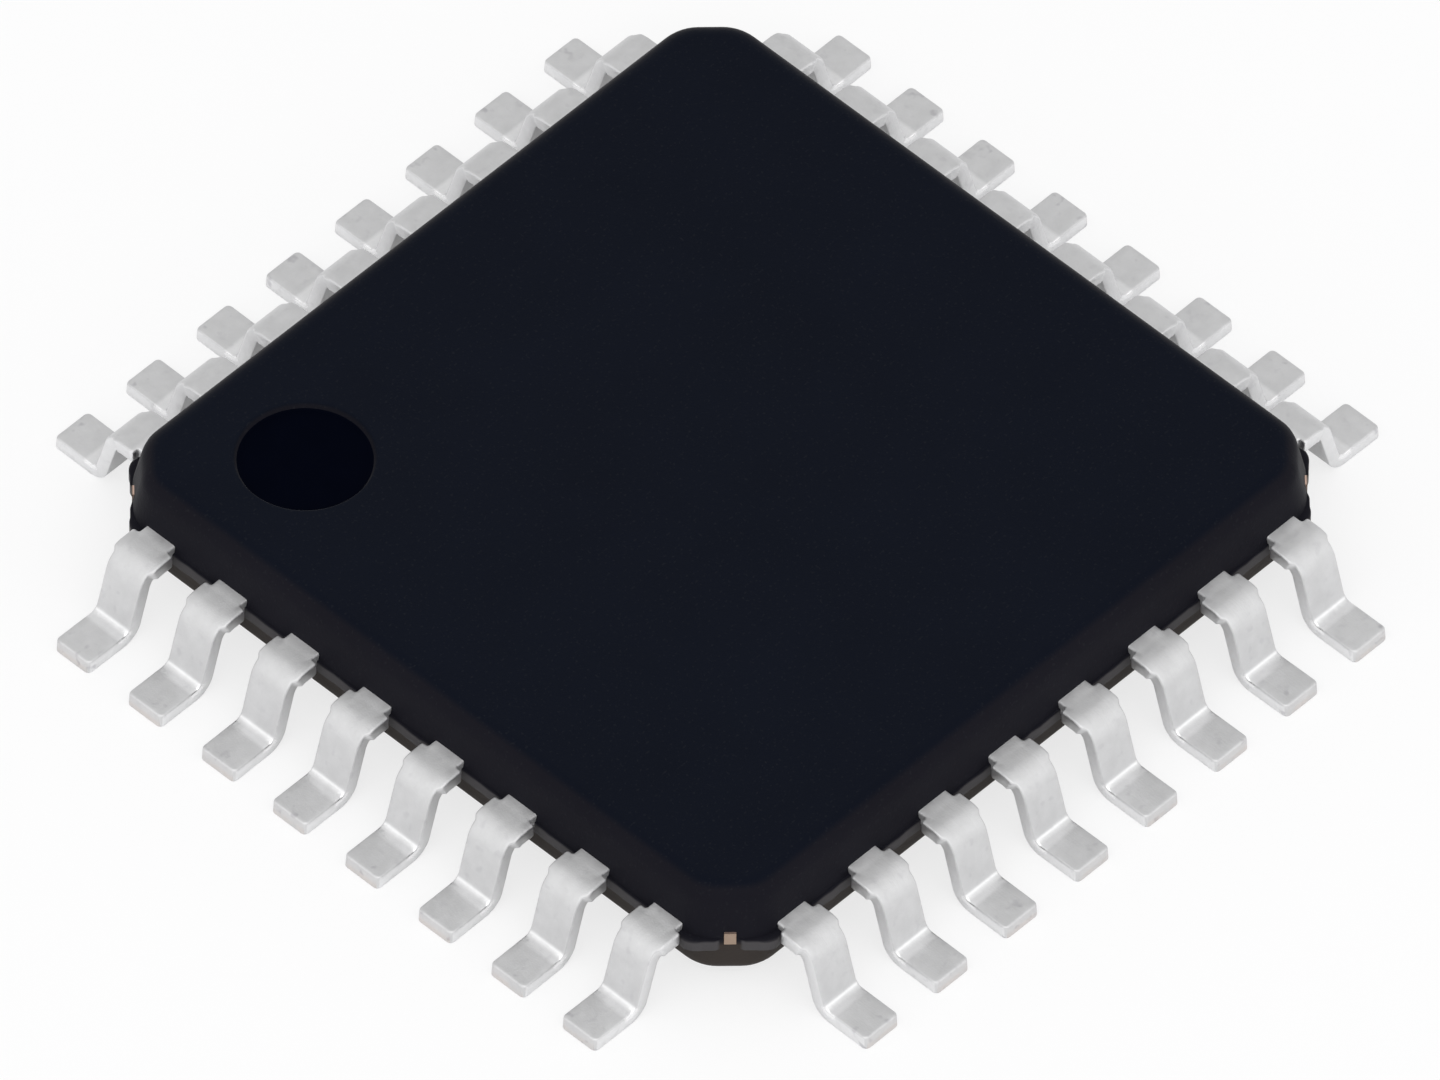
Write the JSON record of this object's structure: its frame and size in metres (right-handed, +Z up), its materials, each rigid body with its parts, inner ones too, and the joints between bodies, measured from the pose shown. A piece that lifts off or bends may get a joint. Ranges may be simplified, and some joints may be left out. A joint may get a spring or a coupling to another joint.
{
  "type": "quad flat pack chip",
  "caption": "Thin square surface-mount chip package with a black moulded body, a pin one dimple and tinned gull-wing leads along every side.",
  "frame": {"origin": "centre of the body on the seating plane under the feet", "axes": "+Z up out of the top face; -X and +Y meet at the corner by the dimple, and pin one is the lead nearest it on the -X side"},
  "size_m": [0.009, 0.009, 0.0011],
  "materials": {
    "mould_compound": "fine matte grain of a spark-eroded mould",
    "tin_plate": "matte tin plate, soft and slightly uneven",
    "frame_copper": "bare rolled copper alloy",
    "silver_adhesive": "cured silver-filled adhesive",
    "silicon": "polished silicon",
    "gold_wire": "bright drawn gold"
  },
  "bodies": {
    "root": {"moulded_body": "mould_compound", "die_pad": "frame_copper", "die_attach": "silver_adhesive", "die": "silicon", "bond_wires_west": "gold_wire", "bond_wires_south": "gold_wire", "bond_wires_east": "gold_wire", "bond_wires_north": "gold_wire", "lead_01": "tin_plate", "lead_02": "tin_plate", "lead_03": "tin_plate", "lead_04": "tin_plate", "lead_05": "tin_plate", "lead_06": "tin_plate", "lead_07": "tin_plate", "lead_08": "tin_plate", "lead_09": "tin_plate", "lead_10": "tin_plate", "lead_11": "tin_plate", "lead_12": "tin_plate", "lead_13": "tin_plate", "lead_14": "tin_plate", "lead_15": "tin_plate", "lead_16": "tin_plate", "lead_17": "tin_plate", "lead_18": "tin_plate", "lead_19": "tin_plate", "lead_20": "tin_plate", "lead_21": "tin_plate", "lead_22": "tin_plate", "lead_23": "tin_plate", "lead_24": "tin_plate", "lead_25": "tin_plate", "lead_26": "tin_plate", "lead_27": "tin_plate", "lead_28": "tin_plate", "lead_29": "tin_plate", "lead_30": "tin_plate", "lead_31": "tin_plate", "lead_32": "tin_plate"}
  },
  "joints": []
}
